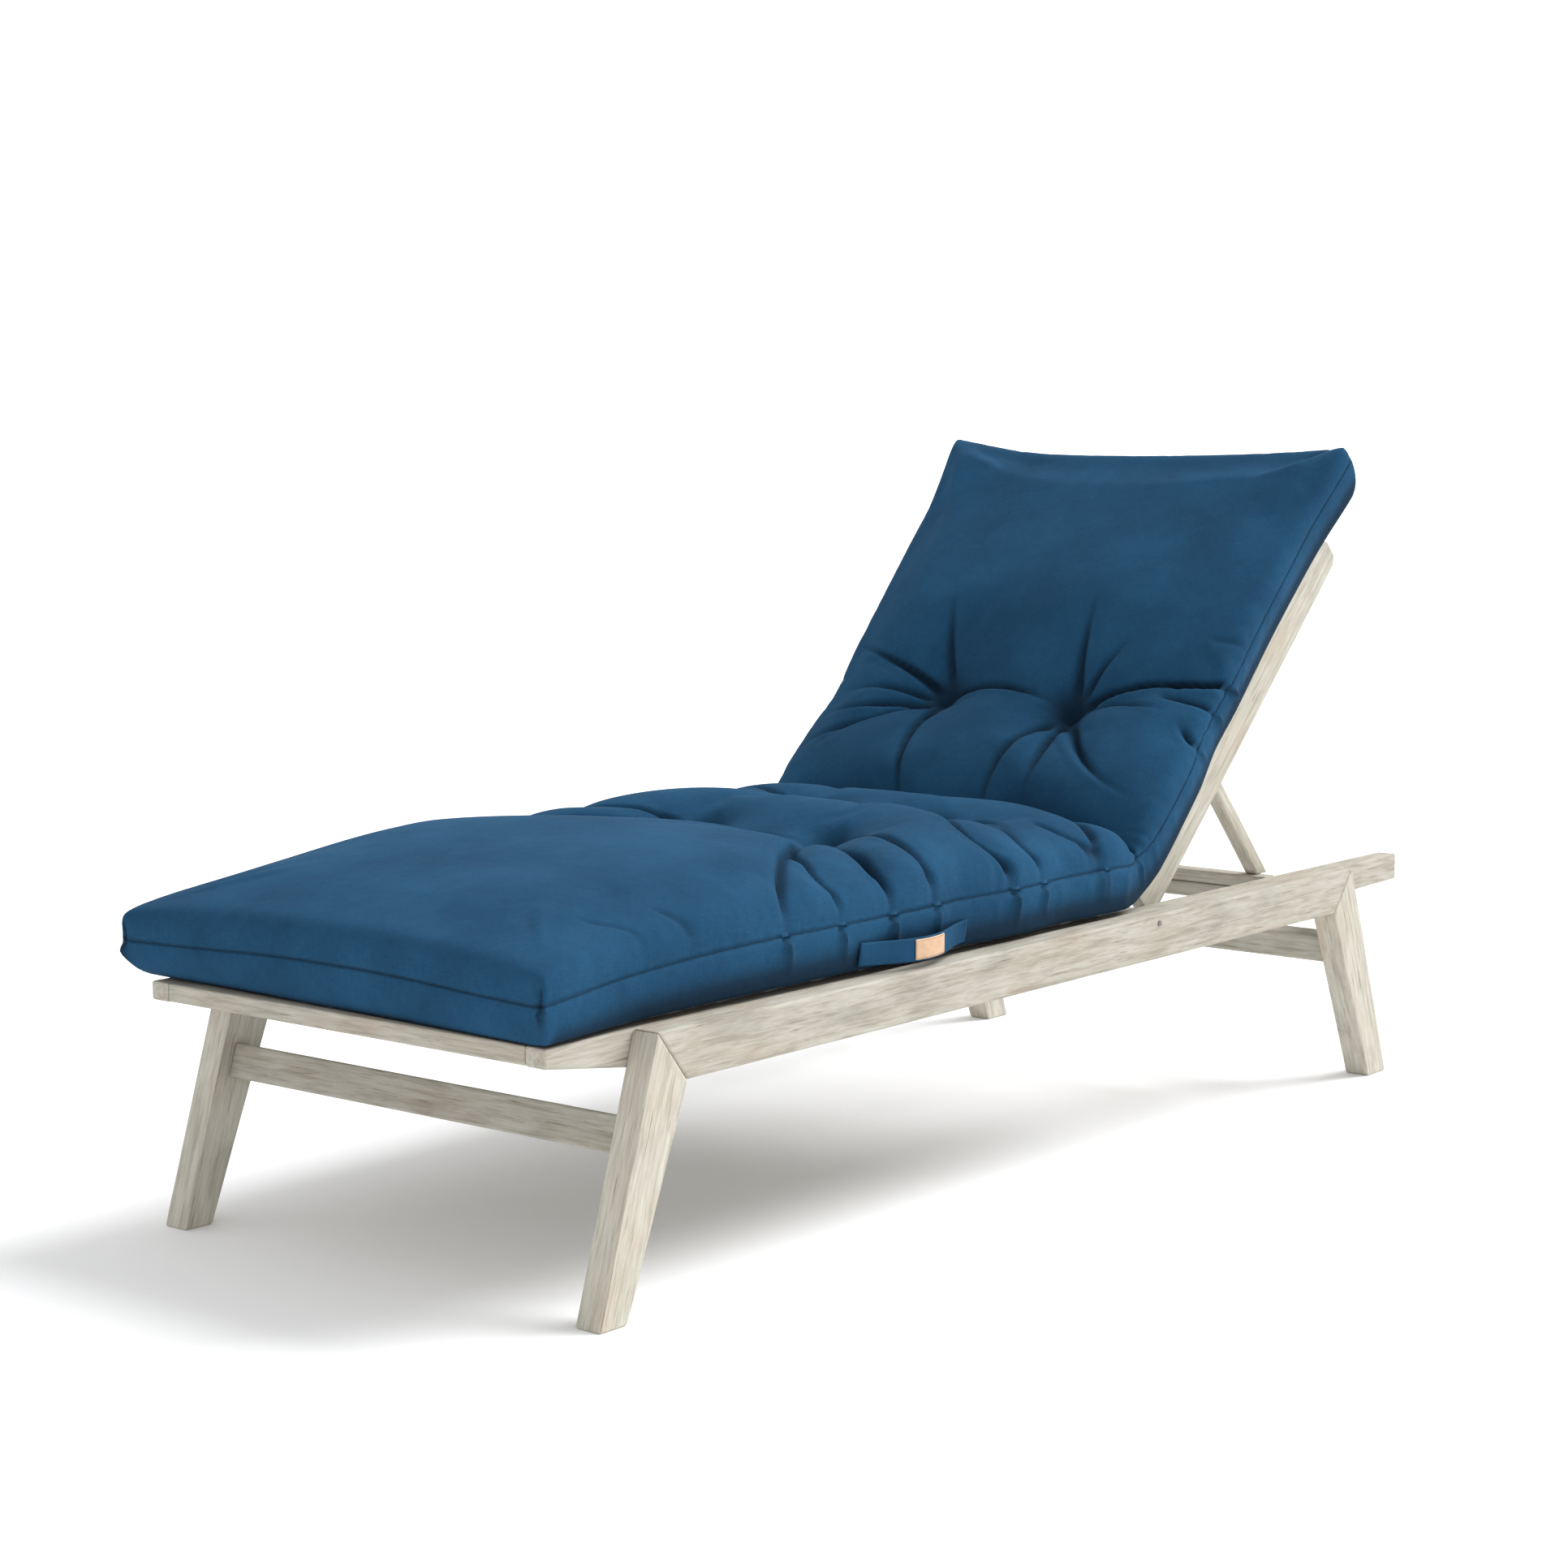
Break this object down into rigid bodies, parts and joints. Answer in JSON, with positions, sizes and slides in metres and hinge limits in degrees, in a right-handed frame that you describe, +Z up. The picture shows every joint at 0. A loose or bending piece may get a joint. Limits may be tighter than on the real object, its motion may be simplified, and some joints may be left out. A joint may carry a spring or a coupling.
{
  "type": "sun lounger cushion on a wooden sun lounger",
  "caption": "Thick tufted lounger cushion in plain blue cloth, bent over a wooden sun lounger with splayed legs and a raised, propped backrest.",
  "frame": {"origin": "centre of the bounding box on the floor plane", "axes": "+Z up; +Y from the foot end to the head end; +X to the right of someone looking along +Y, the side with the carry handle"},
  "size_m": [0.7102, 1.7758, 0.8896],
  "materials": {
    "cushion_fabric": "matte woven cotton-polyester, deep blue",
    "handle_webbing": "matte woven, deep blue",
    "patch": "matte tan, bare",
    "timber": "whitewashed, weathered, matte",
    "bolt": "dark, dull"
  },
  "bodies": {
    "root": {"cushion": "cushion_fabric", "carry_handle": "handle_webbing", "handle_patch": "patch", "side_rail_right": "timber", "side_rail_left": "timber", "front_leg_right": "timber", "front_leg_left": "timber", "rear_leg_right": "timber", "rear_leg_left": "timber", "front_stretcher": "timber", "rear_stretcher": "timber", "bed_rail_right": "timber", "bed_rail_left": "timber", "front_board": "timber", "seat_slat_01": "timber", "seat_slat_02": "timber", "seat_slat_03": "timber", "seat_slat_04": "timber", "seat_slat_05": "timber", "seat_slat_06": "timber", "seat_slat_07": "timber", "seat_slat_08": "timber", "seat_slat_09": "timber", "seat_slat_10": "timber", "seat_slat_11": "timber", "seat_slat_12": "timber", "cross_rail": "timber", "prop_foot_bar": "timber", "back_stile_right": "timber", "back_stile_left": "timber", "back_slat_01": "timber", "back_slat_02": "timber", "back_slat_03": "timber", "back_slat_04": "timber", "back_slat_05": "timber", "back_slat_06": "timber", "back_slat_07": "timber", "back_slat_08": "timber", "prop_right": "timber", "prop_left": "timber", "hinge_bolt_right": "bolt", "hinge_bolt_left": "bolt"}
  },
  "joints": []
}
